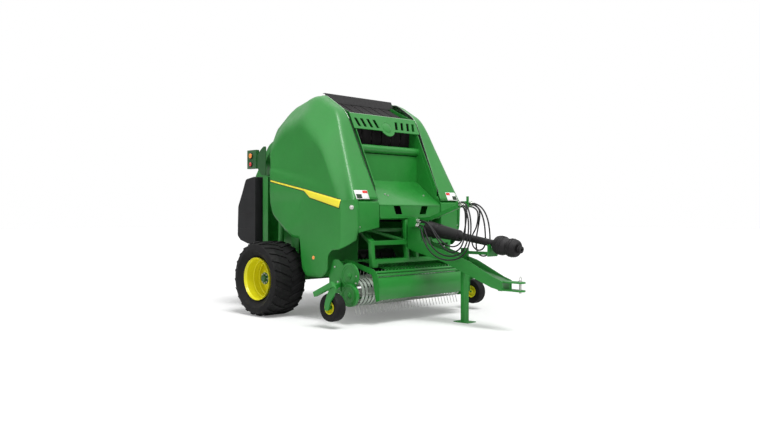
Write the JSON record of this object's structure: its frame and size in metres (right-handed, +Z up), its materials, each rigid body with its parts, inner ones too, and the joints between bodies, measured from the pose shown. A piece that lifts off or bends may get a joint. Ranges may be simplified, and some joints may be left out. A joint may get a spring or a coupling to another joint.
{
  "type": "round baler",
  "caption": "Drawn round baler with a wide tined pick-up, gull-wing side shields, a lifting tailgate, a clevis hitch on a jack and a driveline.",
  "frame": {"origin": "on the ground, at the middle of the machine's length and width", "axes": "+X forwards to the hitch, +Y to the machine's left, +Z up"},
  "size_m": [4.8498, 3.142, 3.226],
  "materials": {
    "green": "gloss enamel",
    "yellow": "gloss enamel",
    "tyre": "moulded rubber",
    "belt": "textured belt",
    "roller": "satin",
    "hose": "satin rubber",
    "zinc": "plated",
    "dark_steel": "satin black",
    "charcoal": "moulded",
    "black_plastic": "moulded",
    "chrome": "polished"
  },
  "bodies": {
    "frame": {"side_plates": "green", "axle_beam": "green", "front_boxes": "green", "apron": "green", "recess_panel": "green", "cross_panel": "green", "front_rollers": "roller", "front_belts": "belt", "front_frame": "green", "drawbar": "green", "hitch_pin": "zinc", "gearbox": "green", "driveline_holder": "green", "hose_holder": "green", "hose_manifold": "green", "top_sheet": "dark_steel", "hose_near": "hose", "hose_outer": "hose", "hose_middle": "hose", "hose_inner": "hose", "hose_far": "hose", "hose_loop": "hose"},
    "wheel_right": {"tyre_right": "tyre", "rim_right": "yellow"},
    "wheel_left": {"tyre_left": "tyre", "rim_left": "yellow"},
    "pickup": {"stripper_bands": "green", "pickup_beam": "green", "pickup_sides": "green", "gauge_arms": "green"},
    "gauge_wheel_right": {"gauge_tyre_right": "tyre", "gauge_rim_right": "yellow"},
    "gauge_wheel_left": {"gauge_tyre_left": "tyre", "gauge_rim_left": "yellow"},
    "reel": {"tine_reel": "zinc"},
    "windguard_body": {"windguard": "green", "baffle_sheet": "green"},
    "rotor": {"feed_rotor": "dark_steel"},
    "tailgate": {"tailgate_frame": "green", "rear_rollers": "roller", "rear_belts": "belt", "rear_covers": "charcoal", "lamp_plates": "green"},
    "barrel_right": {"cylinder_barrel_right": "green"},
    "barrel_left": {"cylinder_barrel_left": "green"},
    "rod_right": {"cylinder_rod_right": "chrome"},
    "rod_left": {"cylinder_rod_left": "chrome"},
    "side_shield_right": {"shield_right": "green"},
    "side_shield_left": {"shield_left": "green"},
    "jack": {"jack_leg": "green"},
    "driveline": {"driveline_guard": "black_plastic"},
    "driveline_spin_body": {"driveline_shaft": "dark_steel"}
  },
  "joints": [
    {"name": "wheel_spin_right", "type": "hinge", "parent": "frame", "child": "wheel_right", "pos_m": [-1.175, -1.225, 0.538], "axis": [0, 1, 0], "continuous": true},
    {"name": "wheel_spin_left", "type": "hinge", "parent": "frame", "child": "wheel_left", "pos_m": [-1.175, 1.225, 0.538], "axis": [0, 1, 0], "continuous": true},
    {"name": "pickup_lift", "type": "hinge", "parent": "frame", "child": "pickup", "pos_m": [-0.205, 0, 0.66], "axis": [0, 1, 0], "range_deg": [0, 6.5]},
    {"name": "gauge_spin_right", "type": "hinge", "parent": "pickup", "child": "gauge_wheel_right", "pos_m": [0.475, -1.43, 0.276], "axis": [0, 1, 0], "continuous": true},
    {"name": "gauge_spin_left", "type": "hinge", "parent": "pickup", "child": "gauge_wheel_left", "pos_m": [0.475, 1.43, 0.276], "axis": [0, 1, 0], "continuous": true},
    {"name": "reel_spin", "type": "hinge", "parent": "pickup", "child": "reel", "pos_m": [0.395, 0, 0.43], "axis": [0, 1, 0], "continuous": true},
    {"name": "windguard_lift", "type": "hinge", "parent": "pickup", "child": "windguard_body", "pos_m": [0.145, 0, 0.82], "axis": [0, -1, 0], "range_deg": [0, 6]},
    {"name": "rotor_spin", "type": "hinge", "parent": "frame", "child": "rotor", "pos_m": [-0.205, 0, 0.66], "axis": [0, 1, 0], "continuous": true},
    {"name": "tailgate_lift", "type": "hinge", "parent": "frame", "child": "tailgate", "pos_m": [-1.055, 0, 2.86], "axis": [0, 1, 0], "range_deg": [0, 60]},
    {"name": "side_shield_lift_right", "type": "hinge", "parent": "frame", "child": "side_shield_right", "pos_m": [-0.995, -0.712, 3.053], "axis": [-0.9583, 0, -0.2857], "range_deg": [0, 65]},
    {"name": "side_shield_lift_left", "type": "hinge", "parent": "frame", "child": "side_shield_left", "pos_m": [-0.995, 0.712, 3.053], "axis": [0.9583, 0, 0.2857], "range_deg": [0, 65]},
    {"name": "jack_slide", "type": "slide", "parent": "frame", "child": "jack", "axis": [0, 0, 1], "range_m": [0, 0.35]},
    {"name": "driveline_lift", "type": "hinge", "parent": "frame", "child": "driveline", "pos_m": [0.8, 0, 1.272], "axis": [0, -1, 0], "range_deg": [0, 12]},
    {"name": "driveline_spin", "type": "hinge", "parent": "driveline", "child": "driveline_spin_body", "pos_m": [0.8, 0, 1.272], "axis": [0.9884, 0, -0.1522], "continuous": true},
    {"name": "barrel_swing_right", "type": "hinge", "parent": "frame", "child": "barrel_right", "pos_m": [-1.475, -0.8, 0.86], "axis": [0, 1, 0], "range_deg": [-8.88, 0.2]},
    {"name": "rod_slide_right", "type": "slide", "parent": "barrel_right", "child": "rod_right", "axis": [0.0278, 0, 0.9996], "range_m": [0, 0.6273]},
    {"name": "barrel_swing_left", "type": "hinge", "parent": "frame", "child": "barrel_left", "pos_m": [-1.475, 0.8, 0.86], "axis": [0, 1, 0], "range_deg": [-8.88, 0.2]},
    {"name": "rod_slide_left", "type": "slide", "parent": "barrel_left", "child": "rod_left", "axis": [0.0278, 0, 0.9996], "range_m": [0, 0.6273]}
  ],
  "couplings": [
    {"joint": "barrel_swing_right", "follows": "tailgate_lift", "ratio": -0.14474},
    {"joint": "rod_slide_right", "follows": "tailgate_lift", "m_per_rad": 0.5962},
    {"joint": "barrel_swing_left", "follows": "tailgate_lift", "ratio": -0.14474},
    {"joint": "rod_slide_left", "follows": "tailgate_lift", "m_per_rad": 0.5962}
  ]
}
